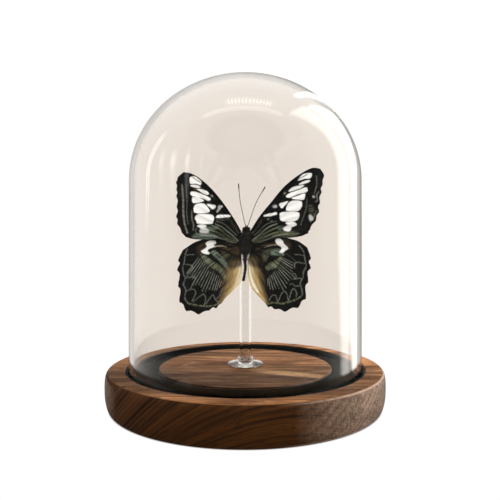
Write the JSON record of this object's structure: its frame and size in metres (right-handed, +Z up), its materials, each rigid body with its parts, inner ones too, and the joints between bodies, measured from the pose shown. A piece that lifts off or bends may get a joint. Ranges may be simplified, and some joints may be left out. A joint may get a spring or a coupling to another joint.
{
  "type": "butterfly under a glass dome",
  "caption": "Set butterfly on a clear stem under a glass dome that stands in the felt-lined ring groove of a round turned walnut base.",
  "frame": {"origin": "centre of the base's flat underside", "axes": "+Z up along the axis of the dome and base; the butterfly shows its upper side towards -Y, and its head is up"},
  "size_m": [0.1432, 0.1432, 0.1689],
  "materials": {
    "walnut": "satin oil",
    "black_felt": "matte felt",
    "clear_glass": "clear polished, faint warm tint",
    "clear_stem": "clear polished",
    "wing_scales": "matte scales, black with cream windows and olive streaks",
    "dark_body": "matte, hairy"
  },
  "bodies": {
    "root": {"base": "walnut", "groove_felt": "black_felt", "glass_dome": "clear_glass", "stem_tube": "clear_stem", "stem_foot": "clear_stem", "body": "dark_body", "forewing_left": "wing_scales", "forewing_right": "wing_scales", "hindwing_left": "wing_scales", "hindwing_right": "wing_scales", "antenna_left": "dark_body", "antenna_right": "dark_body", "leg_middle_left": "dark_body", "leg_middle_right": "dark_body", "leg_hind_left": "dark_body", "leg_hind_right": "dark_body"}
  },
  "joints": []
}
